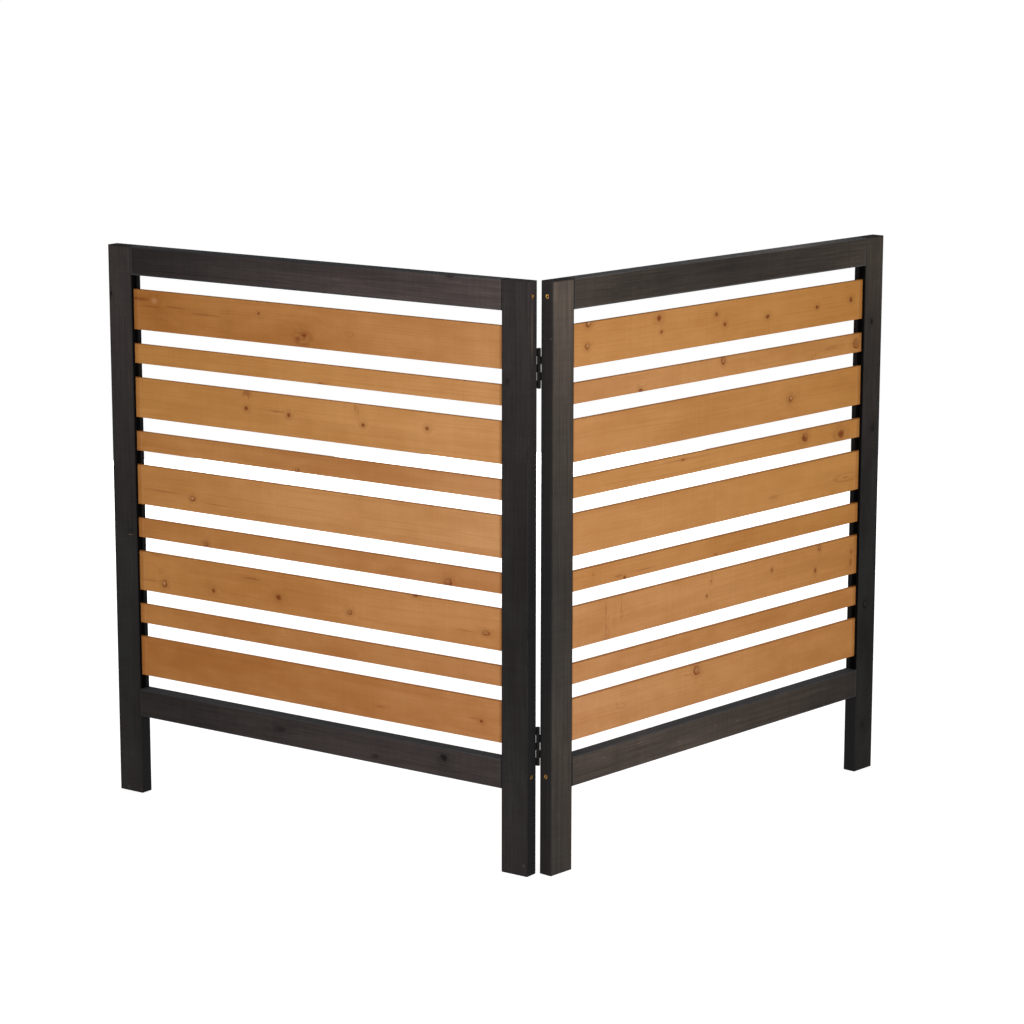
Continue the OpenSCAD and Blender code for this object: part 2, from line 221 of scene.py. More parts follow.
RIGHT_MARKS = {
    1: [("eye", 51, 66.5, 8, 6.5), ("eye", 48, 31, 6.5, 5.5), ("dark", 225.5, 57.5, 8.5, 8),
        ("dark", 232, 34, 5, 4.5), ("dark", 374.5, 49, 6, 6), ("dark", 397.5, 30, 6, 5.2),
        ("dark", 513, 31, 7.5, 6), ("dark", 651.5, 33.5, 5.5, 5.2), ("dark", 749.5, 37, 7, 6.5)],
    2: [("dark", 180.5, 2.5, 8, 4.5), ("pale", 184, 12, 13, 4), ("ring", 394.5, 28, 6.8, 7.6),
        ("soft", 394.5, 28, 5.5, 6.5), ("ring", 767, 16, 10, 10.5), ("dark", 767, 16, 4, 4.5),
        ("soft", 767, 16, 11, 11.5), ("stain", 694, 15, 26, 4),
        ("line", 700, 19, 22, 1.2), ("faint", 650, 9.5, 3, 3), ("faint", 640, 6, 3, 3)],
    3: [("eye", 582, 34.5, 6.5, 6), ("faint", 570, 37, 5, 4), ("faint", 593, 36, 5, 4),
        ("trace", 582, 34.5, 15, 11)],
    4: [("ring", 625, 20.5, 10, 8.5), ("dark", 623, 19, 9.5, 8.5), ("dark", 729, 12.5, 14, 10.5),
        ("trace", 729, 12.5, 26, 15), ("line", 291, 26, 70, 1.2), ("dark", 291, 26, 9, 2)],
    5: [("trace", 745, 27, 42, 9), ("line", 745, 27, 12, 1.8), ("stain", 537.5, 21, 20, 7)],
    6: [("faint", 66, 20, 5, 4), ("dark", 144, 3, 5, 4.5), ("line", 130, 8, 16, 3),
        ("line", 196, 9, 34, 1.3), ("soft", 381, 4, 5, 2.5)],
    7: [("crack", 98, 52, 1.6, 15), ("crack", 98, 22, 1.4, 12), ("trace", 101, 11, 5, 14),
        ("crack", 136, 47, 1.0, 15), ("faint", 137, 32, 3.5, 3.5), ("soft", 370.5, 53, 3.5, 4.5),
        ("crack", 372, 62, 1.4, 7), ("dark", 358.5, 29.5, 3.5, 3.5), ("eye", 673, 63, 4.5, 6),
        ("dark", 537, 45.5, 3.6, 4.6), ("dark", 661.5, 24, 4.4, 5.6), ("soft", 768, 41, 6, 7),
        ("soft", 766, 22.5, 5, 9)],
    9: [("ring", 334, 57.5, 9, 9), ("line", 312, 54, 14, 1.2), ("faint", 127, 39, 5, 3),
        ("trace", 138, 34, 14, 6)],
}
SLAT_MARKS = {"left": LEFT_MARKS, "right": RIGHT_MARKS}

# Marks of the frame, measured the same way, and on a stile from its foot and its edge by the fold
FRAME_MARKS = {
    "left_top_rail": [("soft", 101, 46, 12, 4)],
    "left_bottom_rail": [("dark", 115, 32.5, 10, 9), ("soft", 458, 26, 16, 8), ("soft", 256, 12, 12, 6)],
    "left_hinge_stile": [("soft", 805, 39.5, 9, 5), ("trace", 145, 24, 9, 6), ("rub", 17, 6, 7, 7),
                         ("trace", 400, 3.5, 10, 5)],
    "left_outer_stile": [("chip", 6, 31.5, 5, 1.6), ("scratch", 6, 2, 6, 1.4), ("dark", 881, 47, 6, 4),
                         ("scratch", 463, 12, 1.6, 16), ("stain", 470, 12, 9, 14)],
    "right_outer_stile": [("dark", 816, 21, 8, 6), ("soft", 625, 32, 12, 8), ("ring", 306, 20.5, 8, 6),
                          ("soft", 84, 20.5, 14, 9)],
    "right_bottom_rail": [("scratch", 77, 31.5, 16, 1.2), ("scratch", 167, 37.5, 20, 1.2),
                          ("scratch", 268.5, 20, 18, 1.2), ("scratch", 429, 24.5, 16, 1.4),
                          ("scratch", 369, 26.5, 14, 1.2), ("scratch", 3, 39.5, 3, 2)],
}

# Marks on the edge of a hinge stile that meets the other panel, as the marks above but with the
# distance from the front in place of the one across
EDGE_MARKS = {
    "left_hinge_stile": [("scratch", 872, 8.5, 120, 2), ("scratch", 873, 12, 144, 2)],
    "right_hinge_stile": [("chip", 874, 3.5, 4, 1.6)],
}

# Form of a mark, in shares of its half sizes: how far its edge wavers, where its core, rim, halo,
# heart and push on the growth rings start and are full, where its heart lies, and on which side its
# rim is strongest
MARK_WAVER = (0.78, 1.22)
CORE_FADE = (1.05, 0.3)
RIM_MIDDLE = 0.72
RIM_FADE = (0.3, 0.06)
RIM_SIDE = (-0.7, -0.6, 0)
RIM_SIDE_FADE = (-0.9, 0.6)
RIM_WEAKEST = 0.45
HALO_FADE = (2.6, 0.7)
HALO_STRENGTH = 0.2
HEART_PLACE = (0.1, 0.14, 0)
HEART_FADE = (0.54, 0.1)
SWELL_FADE = (3.4, 0.0)

# The noise over which a mark's edge wavers, a broken core fills in and a rim grows from its least
WAVER_RANGE = (0.25, 0.75)
BROKEN_RANGE = (0.46, 0.64)
RIM_PATCH_RANGE = (0.35, 0.6)
RIM_PATCH_LEAST = 0.75

# How deep a mark on a wide face goes, which is through every board, and one on an edge
MARK_DEPTH = 1.0
EDGE_MARK_DEPTH = 2 * MM

# Waves of each pattern per metre along a board, across its face and through it
WAVES = {
    "mark edge": (110, 160, 60), "mark patches": (110, 330, 60), "arris": (30, 260, 260),
    "sway": (1.5, 3.5, 3.5), "ripple": (11, 34, 34), "ring strength": (7, 30, 30),
    "fine fibre": (16, 950, 950), "coarse fibre": (6, 260, 260), "fleck": (45, 900, 900),
    "wide blotch": (3.5, 12, 12), "small blotch": (22, 40, 40), "chatter": (160, 4, 4),
    "fade and light": (6, 22, 22),
}

# Ranges that most values of a noise lie in
NOISE_RANGE = (0.3, 0.7)
WIDE_NOISE_RANGE = (0.2, 0.8)

# Growth rings: how far they sway and ripple across a board, by how many rings their spacing is
# uneven, the waves per ring of that spacing and of their strength, the shares of a ring where its
# late wood starts and is full and where it ends, and a ring's least strength from year to year and
# from patch to patch
SWAY_REACH = 12 * MM
RIPPLE_REACH = 1.6 * MM
RING_UNEVEN = 1.2
SPACING_WAVES = 0.35
YEAR_WAVES = 1.3
LATE_START = (0.15, 0.86)
LATE_END = (1.0, 0.9)
YEAR_LEAST = 0.25
PATCH_LEAST = 0.35

# Shares of fine and coarse fibre, and of wide and small blotches, and the noise that makes a fleck
FIBRE_SHARES = (0.55, 0.45)
BLOTCH_SHARES = (0.7, 0.3)
FLECK_RANGE = (0.68, 0.8)

# Where each board lies in its log, by its seed: the shift of its patterns, the turns per seed (in
# radians) of its pith's place across, of its pith's depth and of its ring width, and how much each
# varies. The place across is a share of the board's width, and the depth is in millimetres.
SEED_SHIFT = (3.1, 1.7, 2.3)
ACROSS_TURN = 2.4
DEPTH_TURN = 1.7
WIDTH_TURN = 5.1
PITH_ACROSS_SWING = 0.55
PITH_DEPTH = 26
PITH_DEPTH_SWING = 9
RING_WIDTH_SWING = 0.2

# The seed below that of each panel's top slat, and how far above it the frame's seeds start
FIRST_SEEDS = {"left": 10, "right": 40}
FRAME_SEED_STEP = 10

# Metals as (bright colour, dull colour, metallic, roughness, specular, waves per metre)
METALS = {
    "hinge_black": ((9, 9, 9), (16, 16, 15), 0.0, 0.6, 0.1, 260),
    "brad_steel": ((150, 148, 144), (120, 118, 114), 1.0, 0.35, 0.5, 900),
    "screw_brass": ((232, 188, 110), (168, 124, 66), 1.0, 0.45, 0.5, 700),
}

# How a metal varies: the noise over which it turns from dull to bright, how far its roughness goes
# down and up, how high its grain stands, and how many times finer that is than its patches
METAL_PATCHES = (0.35, 0.65)
METAL_SMOOTHER = 0.08
METAL_ROUGHER = 0.12
METAL_RELIEF = 0.02 * MM
GRAIN_WAVES = 8

# Middles of the frame screws' heads above the foot and behind the front, their radii (of the
# painted shade in the recess and of the bright face), how softly these end, and the colour of the
# painted shade in the recess and of the painted shadow around the bright face
SCREW_HEIGHTS = (164.5 * MM, 940.5 * MM)
SCREW_DEPTH = 12 * MM
RECESS_RADIUS = 1.7 * MM
HEAD_RADIUS = 3.7 * MM
SCREW_STEP = 0.3 * MM
PAINTED_SCREW_SHADE = (30, 24, 16)


def linear(rgb):
    """The linear colour of an sRGB colour with parts from 0 to 255."""
    parts = []
    for part in rgb:
        share = part / 255
        low = share <= 0.04045
        parts.append(share / 12.92 if low else ((share + 0.055) / 1.055) ** 2.4)
    return (*parts, 1.0)


class Nodes:
    """Adds nodes to one tree. Each call gives the socket that holds its result."""

    def __init__(self, tree):
        self.tree = tree

    def feed(self, socket, value):
        """Links a socket to another, or sets its value."""
        if isinstance(value, bpy.types.NodeSocket):
            self.tree.links.new(value, socket)
        else:
            socket.default_value = value

    def add(self, kind, inputs=None, output=0, **settings):
        """A shader node of any kind."""
        node = self.tree.nodes.new("ShaderNode" + kind)
        for name, value in settings.items():
            setattr(node, name, value)
        for name, value in (inputs or {}).items():
            self.feed(node.inputs[name], value)
        return node.outputs[output]

    def math(self, operation, *values, clamp=False):
        """The result of a sum on numbers."""
        node = self.tree.nodes.new("ShaderNodeMath")
        node.operation = operation
        node.use_clamp = clamp
        for socket, value in zip(node.inputs, values):
            self.feed(socket, value)
        return node.outputs[0]

    def times(self, first, *others):
        """The product of two or more numbers."""
        for other in others:
            first = self.math("MULTIPLY", first, other)
        return first

    def vector(self, operation, *values, output=0):
        """The result of a sum on vectors."""
        node = self.tree.nodes.new("ShaderNodeVectorMath")
        node.operation = operation
        for socket, value in zip(node.inputs, values):
            self.feed(socket, value)
        return node.outputs[output]

    def split(self, vector):
        """The three parts of a vector."""
        return self.add("SeparateXYZ", {"Vector": vector}).node.outputs

    def noise(self, place, scale, detail=2.0, roughness=0.5):
        """Noise from 0 to 1 whose scale is a number, or one for each axis."""
        if isinstance(scale, tuple):
            place = self.vector("MULTIPLY", place, scale)
            scale = 1.0
        values = {"Vector": place, "Scale": scale, "Detail": detail, "Roughness": roughness}
        return self.add("TexNoise", values)

    def spread(self, value, low, high, to_low=0.0, to_high=1.0, smooth=False):
        """The value, carried from one range to another and held within it."""
        values = {"Value": value, "From Min": low, "From Max": high}
        values.update({"To Min": to_low, "To Max": to_high})
        kind = "SMOOTHSTEP" if smooth else "LINEAR"
        return self.add("MapRange", values, interpolation_type=kind)

    def mix(self, share, first, second):
        """A mix of two colours, where a share of 0 is the first."""
        node = self.tree.nodes.new("ShaderNodeMix")
        node.data_type = "RGBA"
        sockets = {socket.identifier: socket for socket in node.inputs}
        self.feed(sockets["Factor_Float"], share)
        self.feed(sockets["A_Color"], first)
        self.feed(sockets["B_Color"], second)
        return next(s for s in node.outputs if s.identifier == "Result_Color")

    def group(self, tree, inputs):
        """An instance of a node group, as a dictionary of its outputs."""
        node = self.tree.nodes.new("ShaderNodeGroup")
        node.node_tree = tree
        for name, value in inputs.items():
            self.feed(node.inputs[name], value)
        return {socket.name: socket for socket in node.outputs}


def new_group(name, inputs, outputs):
    """A node group as (its nodes, its input sockets, a function that sets its outputs)."""
    tree = bpy.data.node_groups.new(name, "ShaderNodeTree")
    for label in inputs:
        kind = "NodeSocketVector" if label in ("Place", "Centre", "Size") else "NodeSocketFloat"
        tree.interface.new_socket(label, in_out="INPUT", socket_type=kind)
    for label in outputs:
        tree.interface.new_socket(label, in_out="OUTPUT", socket_type="NodeSocketFloat")
    nodes = Nodes(tree)
    source = tree.nodes.new("NodeGroupInput")
    target = tree.nodes.new("NodeGroupOutput")

    def finish(results):
        for label, value in results.items():
            nodes.feed(target.inputs[label], value)

    given = {socket.name: socket for socket in source.outputs}
    return nodes, given, finish


def mark_group():
    """One mark. Dark, Pale and Bend pass through it and come out with this mark added."""
    labels = ("Place", "Centre", "Size", "Core", "Heart", "Rim", "Broken", "Swell",
              "Dark", "Pale", "Bend")
    n, given, finish = new_group("mark", labels, ("Dark", "Pale", "Bend"))
    offset = n.vector("SUBTRACT", given["Place"], given["Centre"])
    ratio = n.vector("DIVIDE", offset, given["Size"])
    wobble = n.noise(given["Place"], WAVES["mark edge"], detail=2)
    length = n.vector("LENGTH", ratio, output="Value")
    reach = n.times(length, n.spread(wobble, *WAVER_RANGE, *MARK_WAVER))
    core = n.spread(reach, *CORE_FADE, smooth=True)
    patchy = n.noise(given["Place"], WAVES["mark patches"], detail=3, roughness=0.6)
    whole = n.spread(given["Broken"], 0.0, 1.0, 1.0, n.spread(patchy, *BROKEN_RANGE))
    off_rim = n.math("ABSOLUTE", n.math("SUBTRACT", reach, RIM_MIDDLE))
    rim = n.spread(off_rim, *RIM_FADE, smooth=True)
    lower = n.vector("DOT_PRODUCT", ratio, RIM_SIDE, output="Value")
    rim = n.times(
        rim,
        n.spread(lower, *RIM_SIDE_FADE, RIM_WEAKEST, 1.0),
        n.spread(patchy, *RIM_PATCH_RANGE, RIM_PATCH_LEAST, 1.0),
    )
    halo = n.times(
        n.spread(reach, *HALO_FADE, smooth=True),
        HALO_STRENGTH,
        n.math("MAXIMUM", given["Core"], given["Rim"]),
        whole,
    )
    aside = n.vector("LENGTH", n.vector("SUBTRACT", ratio, HEART_PLACE), output="Value")
    heart = n.spread(aside, *HEART_FADE, smooth=True)
    dark = n.math("MAXIMUM", n.times(core, given["Core"], whole), n.times(rim, given["Rim"]))
    dark = n.math("MAXIMUM", dark, halo)
    swell = n.spread(reach, *SWELL_FADE, smooth=True)
    finish({
        "Dark": n.math("MAXIMUM", given["Dark"], dark),
        "Pale": n.math("MAXIMUM", given["Pale"], n.times(heart, given["Heart"])),
        "Bend": n.math("MULTIPLY_ADD", swell, given["Swell"], given["Bend"]),
    })
    return n.tree


def figure_group():
    """Growth rings, fibres and blotches of sawn softwood, in a board's frame."""
    labels = ("Place", "Seed", "Pith across", "Pith depth", "Ring width", "Bend")
    results = ("Ring", "Fibre", "Blotch", "Fleck", "Chatter")
    n, given, finish = new_group("softwood figure", labels, results)
    shift = n.vector("SCALE", SEED_SHIFT)
    n.feed(shift.node.inputs["Scale"], given["Seed"])
    seeded = n.vector("ADD", given["Place"], shift)
    parts = n.split(given["Place"])
    sway = n.noise(seeded, WAVES["sway"], detail=2)
    ripple = n.noise(seeded, WAVES["ripple"], detail=2)
    across = n.math("SUBTRACT", parts[1], given["Pith across"])
    for wave, reach in ((sway, SWAY_REACH), (ripple, RIPPLE_REACH)):
        across = n.math("ADD", across, n.spread(wave, *WIDE_NOISE_RANGE, -reach, reach))
    depth = n.math("ADD", parts[2], given["Pith depth"])
    flat = n.add("CombineXYZ", {"X": across, "Y": depth, "Z": 0.0})
    radius = n.vector("LENGTH", flat, output="Value")
    count = n.math("ADD", n.math("DIVIDE", radius, given["Ring width"]), given["Bend"])
    ring_place = n.add("CombineXYZ", {"X": count, "Y": 0.0, "Z": given["Seed"]})
    spacing = n.noise(ring_place, SPACING_WAVES, detail=1)
    count = n.math("ADD", count, n.spread(spacing, *NOISE_RANGE, -RING_UNEVEN, RING_UNEVEN))
    phase = n.math("FRACT", count)
    rise = n.spread(phase, *LATE_START, smooth=True)
    fall = n.spread(phase, *LATE_END, smooth=True)
    band = n.times(n.math("POWER", rise, 2.0), fall)
    year = n.noise(n.add("CombineXYZ", {"X": count, "Y": given["Seed"], "Z": 0.0}), YEAR_WAVES)
    year = n.spread(year, *NOISE_RANGE, YEAR_LEAST, 1.0)
    patch = n.noise(seeded, WAVES["ring strength"], detail=2)
    patch = n.spread(patch, *NOISE_RANGE, PATCH_LEAST, 1.0)
    fine = n.noise(seeded, WAVES["fine fibre"], detail=3, roughness=0.65)
    coarse = n.noise(seeded, WAVES["coarse fibre"], detail=3, roughness=0.6)
    fibre = n.math("ADD", n.times(fine, FIBRE_SHARES[0]), n.times(coarse, FIBRE_SHARES[1]))
    wide = n.noise(seeded, WAVES["wide blotch"], detail=3, roughness=0.55)
    small = n.noise(seeded, WAVES["small blotch"], detail=2)
    blotch = n.math("ADD", n.times(wide, BLOTCH_SHARES[0]), n.times(small, BLOTCH_SHARES[1]))
    fleck = n.noise(seeded, WAVES["fleck"], detail=1)
    chatter = n.noise(seeded, WAVES["chatter"], detail=1)
    finish({
        "Ring": n.times(band, n.times(year, patch)),
        "Fibre": n.spread(fibre, *NOISE_RANGE),
        "Blotch": n.spread(blotch, *NOISE_RANGE, smooth=True),
        "Fleck": n.spread(fleck, *FLECK_RANGE),
        "Chatter": n.spread(chatter, *NOISE_RANGE),
    })
    return n.tree


def face_group():
    """Where a place is on a board: arris, narrow face, painted lip shadow and its pale edge, seam."""
    labels = ("Place", "Size", "Reach", "Round")
    n, given, finish = new_group("board faces", labels, ("Arris", "Narrow", "Strip", "Line", "Seam"))
    far = n.vector("SUBTRACT", given["Size"], given["Place"])
    near = n.split(n.vector("MINIMUM", given["Place"], far))
    corner = n.math("MAXIMUM", near[1], near[2])
    end_corner = n.math("MAXIMUM", near[0], n.math("MINIMUM", near[1], near[2]))
    ragged = n.noise(given["Place"], WAVES["arris"], detail=3, roughness=0.6)
    reach = n.times(given["Reach"], n.spread(ragged, *NOISE_RANGE, *ARRIS_RAGGED))
    corner = n.math("MINIMUM", corner, end_corner)
    off_line = n.math("ABSOLUTE", n.math("SUBTRACT", n.split(far)[0], SHADOW_EDGE_PLACE))
    finish({
        "Arris": n.math("SUBTRACT", 1.0, n.math("DIVIDE", corner, reach), clamp=True),
        "Narrow": n.spread(n.math("MINIMUM", near[0], near[1]), given["Round"], NARROW_STEP),
        "Strip": n.spread(near[0], LIP_SHADOW_REACH + LIP_SHADOW_STEP, LIP_SHADOW_REACH, smooth=True),
        "Line": n.spread(off_line, *SHADOW_EDGE_WIDTH, smooth=True),
        "Seam": n.spread(n.split(given["Place"])[0], *SEAM_WIDTH),
    })
    return n.tree


class Board:
    """A wooden CAD node with its own frame, whose origin is its low corner."""

    def __init__(self, side, part, upright):
        mirror = Matrix.Diagonal((-1 if side == "left" else 1, 1, 1))
        turn = Matrix.Rotation(math.radians(-LEAN), 3, "Z")
        lay = UPRIGHT if upright else LEVEL
        self.side = side
        self.turn = lay @ turn
        self.name = f"{side}_{part}"
        self.piece = frame["nodes"][self.name]
        centre = mirror @ FOLD
        places = [self.turn @ (mirror @ v.co - centre) for v in self.piece.data.vertices]
        low = Vector(min(p[axis] for p in places) for axis in range(3))
        high = Vector(max(p[axis] for p in places) for axis in range(3))
        self.size = high - low
        self.shift = -(self.turn @ centre) - low

    def place(self, nodes):
        """The socket that holds a point's place in this board's frame."""
        point = nodes.add("TexCoord", output="Object")
        values = {
            "Vector": point,
            "Location": self.shift,
            "Rotation": self.turn.to_euler(),
            "Scale": (-1 if self.side == "left" else 1, 1, 1),
        }
        return nodes.add("Mapping", values)


def new_material(name):
    """An empty material as (the material, its nodes, its shader)."""
    material = bpy.data.materials.new(name)
    material.use_nodes = True
    nodes = Nodes(material.node_tree)
    shader = material.node_tree.nodes["Principled BSDF"]
    return material, nodes, shader


def dress(piece, material):
    """Gives a CAD node its material in every slot."""
    slots = piece.data.materials
    if not slots:
        slots.append(material)
    for index in range(len(slots)):
        slots[index] = material


def add_marks(n, place, marks, edge_marks):
    """The dark, pale and bend sockets of a board's marks."""
    spots = []
    for kind, along, across, half_length, half_height in marks:
        size = (half_length * MM, half_height * MM, MARK_DEPTH)
        spots.append((kind, (along * MM, across * MM, 0), size))
    for kind, along, depth, half_length, half_depth in edge_marks:
        size = (half_length * MM, EDGE_MARK_DEPTH, half_depth * MM)
        spots.append((kind, (along * MM, 0, depth * MM), size))
    dark, pale, bend = 0.0, 0.0, 0.0
    for kind, centre, size in spots:
        inputs = {"Place": place, "Centre": centre, "Size": size}
        inputs.update({"Dark": dark, "Pale": pale, "Bend": bend})
        result = n.group(MARK, {**inputs, **MARK_KINDS[kind]})
        dark, pale, bend = result["Dark"], result["Pale"], result["Bend"]
    return dark, pale, bend


def along_share(n, along, length, stops):
    """A number that runs through the stops, which lie at even steps from one end to the other."""
    step = length / (len(stops) - 1)
    share = stops[0]
    for number, (before, after) in enumerate(zip(stops, stops[1:])):
        if after != before:
            start = number * step
            rise = n.spread(along, start, start + step, 0.0, after - before)
            share = n.math("ADD", share, rise)
    return share


def fade_and_light_share(n, place, figure):
    """How strongly faded stain and painted light show at a place, around 1."""
    weakest, strongest = FADE_AND_LIGHT_PATCHES
    cloud = n.noise(place, WAVES["fade and light"], detail=4, roughness=0.6)
    cloud = n.spread(cloud, *NOISE_RANGE, weakest, strongest)
    streak = n.spread(figure["Fibre"], 0.0, 1.0, strongest, weakest)
    return n.times(cloud, streak)


def painted_shade_share(n, place, board, groove):
    """How much painted shade darkens the inner edge of a stile: its front lip and its groove most."""
    along, across, depth = n.split(place)
    inward = across if groove == "low" else n.math("SUBTRACT", board.size.y, across)
    back_start, back_full = (board.size.z - step for step in PAINTED_SHADE_BACK)
    return n.times(
        n.spread(inward, GROOVE_REACH + PAINTED_SHADE_SIDE_STEP, GROOVE_REACH),
        n.spread(depth, *PAINTED_SHADE_FRONT),
        n.spread(depth, GROOVE_REAR, GROOVE_REAR + PAINTED_SHADE_REAR_STEP, *PAINTED_SHADE_STRENGTHS),
        n.spread(depth, back_start, back_full),
        n.spread(along, OPENING_LOW - PAINTED_SHADE_END_STEP, OPENING_LOW),
        n.spread(along, OPENING_HIGH + PAINTED_SHADE_END_STEP, OPENING_HIGH),
    )


def wood_material(board, look, seed, marks, stain, fade_and_light_stops=None, groove=None):
    """Stained softwood on one board. The look holds its colours and strengths."""
    material, n, shader = new_material("wood_" + board.name)
    place = board.place(n)
    dark, pale, bend = add_marks(n, place, marks, EDGE_MARKS.get(board.name, ()))
    pith_across = 0.5 + PITH_ACROSS_SWING * math.sin(seed * ACROSS_TURN)
    pith_depth = PITH_DEPTH + PITH_DEPTH_SWING * math.cos(seed * DEPTH_TURN)
    figure = n.group(FIGURE, {
        "Place": place,
        "Seed": float(seed),
        "Pith across": board.size.y * pith_across,
        "Pith depth": pith_depth * MM,
        "Ring width": look["ring_width"] * (1 + RING_WIDTH_SWING * math.sin(seed * WIDTH_TURN)),
        "Bend": bend,
    })
    faces = n.group(FACES, {
        "Place": place,
        "Size": tuple(board.size),
        "Reach": look["edge_reach"],
        "Round": look["round"],
    })
    paint = {part: linear(value) for part, value in look.items() if isinstance(value, tuple)}
    along = n.split(place)[0]
    near_depth, far_depth, gold = stain
    # Colour from a board's start to its far end; on a slat the paler near colour by the fold is a
    # painted sheen
    base = n.mix(n.spread(along, 0.0, board.size.x), paint["near"], paint["far"])
    swell = n.times(n.math("SUBTRACT", 0.5, figure["Blotch"]), look["blotch_strength"])
    deep = n.math("ADD", n.spread(along, 0.0, board.size.x, near_depth, far_depth), swell, clamp=True)
    base = n.mix(deep, base, paint["deep"])
    # Faded stain with painted light on the wide faces and narrow faces; a rail's narrow faces get
    # painted light only
    if fade_and_light_stops:
        wide_fade_and_light, narrow_fade_and_light = (along_share(n, along, board.size.x, stops) for stops in fade_and_light_stops)
        fade_and_light_patches = fade_and_light_share(n, place, figure)
        faded_and_lit_colour = linear(FADED_STAIN_AND_LIGHT[board.side])
        edge_fade_and_light_colour = faded_and_lit_colour if groove else linear(RAIL_EDGE_PAINTED_LIGHT)
        base = n.mix(n.math("MULTIPLY", fade_and_light_patches, wide_fade_and_light, clamp=True), base, faded_and_lit_colour)
        side = n.mix(n.math("MULTIPLY", fade_and_light_patches, narrow_fade_and_light, clamp=True), paint["side"], edge_fade_and_light_colour)
    else:
        base = n.mix(gold, base, paint["gold"])
        # Painted shadow of a stile's front lip on each end of a slat, with a painted pale line at its
        # edge by the far end
        base = n.mix(n.times(faces["Strip"], LIP_SHADOW_STRENGTH), base, paint["deep"])
        base = n.mix(n.times(faces["Line"], SHADOW_EDGE_STRENGTH), base, paint["knot_and_shadow_edge_pale"])
        side = paint["side"]
    # Narrow faces take the side colour, which is painted light on a rail and painted shade on a stile
    base = n.mix(n.times(faces["Narrow"], look["side_strength"]), base, side)
    layers = (
        (figure["Ring"], "late", "ring_strength"), (figure["Fibre"], "late", "fibre_strength"),
        (figure["Chatter"], "late", "chatter_strength"), (figure["Fleck"], "knot", "fleck_strength"),
        (faces["Arris"], "edge", "edge_strength"),
    )
    for share, colour, strength in layers:
        base = n.mix(n.times(share, look[strength]), base, paint[colour])
    base = n.mix(dark, base, paint["knot"])
    base = n.mix(pale, base, paint["knot_and_shadow_edge_pale"])
    # Painted shade on a stile's inner edge, deepest on its front lip and in its groove
    if groove:
        base = n.mix(painted_shade_share(n, place, board, groove), base, paint["shade_and_seam"])
    elif fade_and_light_stops:
        base = n.mix(n.times(faces["Seam"], SEAM_STRENGTH), base, paint["shade_and_seam"])
    n.feed(shader.inputs["Base Color"], base)
    roughness = n.math("ADD", n.times(figure["Fibre"], FIBRE_ROUGHNESS), look["roughness"])
    roughness = n.math("SUBTRACT", roughness, n.times(figure["Ring"], RING_SMOOTHNESS))
    n.feed(shader.inputs["Roughness"], roughness)
    shader.inputs["Specular IOR Level"].default_value = look["specular"]
    height = n.math("ADD", n.times(figure["Ring"], RING_HEIGHT), figure["Fibre"])
    height = n.math("SUBTRACT", height, n.times(figure["Fleck"], FLECK_DEPTH))
    rounded = n.add("Bevel", {"Radius": look["round"]}, samples=BEVEL_SAMPLES)
    values = {"Height": height, "Distance": look["relief"], "Strength": 1.0, "Normal": rounded}
    n.feed(shader.inputs["Normal"], n.add("Bump", values))
    return material


def screw_shade(n, stile):
    """1 in a frame screw's painted recess shade and in the painted shadow around its bright face."""
    along, _, depth = n.split(stile.place(n))
    off = (n.math("ABSOLUTE", n.math("SUBTRACT", along, height)) for height in SCREW_HEIGHTS)
    up = n.math("MINIMUM", *off)
    back = n.math("SUBTRACT", depth, SCREW_DEPTH)
    offset = n.add("CombineXYZ", {"X": up, "Y": back, "Z": 0.0})
    radius = n.vector("LENGTH", offset, output="Value")
    recess = n.spread(radius, RECESS_RADIUS + SCREW_STEP, RECESS_RADIUS - SCREW_STEP)
    outside = n.spread(radius, HEAD_RADIUS - SCREW_STEP, HEAD_RADIUS + SCREW_STEP)
    return n.math("MAXIMUM", recess, outside)


def metal_material(metal, stile=None):
    """Metal whose tone and gloss change from patch to patch. With a stile, it has screw heads with
    painted shade in their recesses and painted shadow around them.
    """
    bright, dull, metallic, roughness, specular, waves = METALS[metal]
    material, n, shader = new_material(f"{metal}_{stile.side}" if stile else metal)
    place = n.add("TexCoord", output="Object")
    cloud = n.noise(place, waves, detail=4, roughness=0.6)
    grain = n.noise(place, GRAIN_WAVES * waves, detail=2)
    share = n.spread(cloud, *METAL_PATCHES, smooth=True)
    base = n.mix(share, linear(dull), linear(bright))
    if stile:
        # Painted shade in each screw's recess and painted shadow around its bright face
        base = n.mix(screw_shade(n, stile), base, linear(PAINTED_SCREW_SHADE))
    n.feed(shader.inputs["Base Color"], base)
    smoothest, roughest = roughness - METAL_SMOOTHER, roughness + METAL_ROUGHER
    n.feed(shader.inputs["Roughness"], n.spread(grain, *NOISE_RANGE, smoothest, roughest))
    shader.inputs["Metallic"].default_value = metallic
    shader.inputs["Specular IOR Level"].default_value = specular
    bump = n.add("Bump", {"Height": grain, "Distance": METAL_RELIEF, "Strength": 1.0})
    n.feed(shader.inputs["Normal"], bump)
    return material


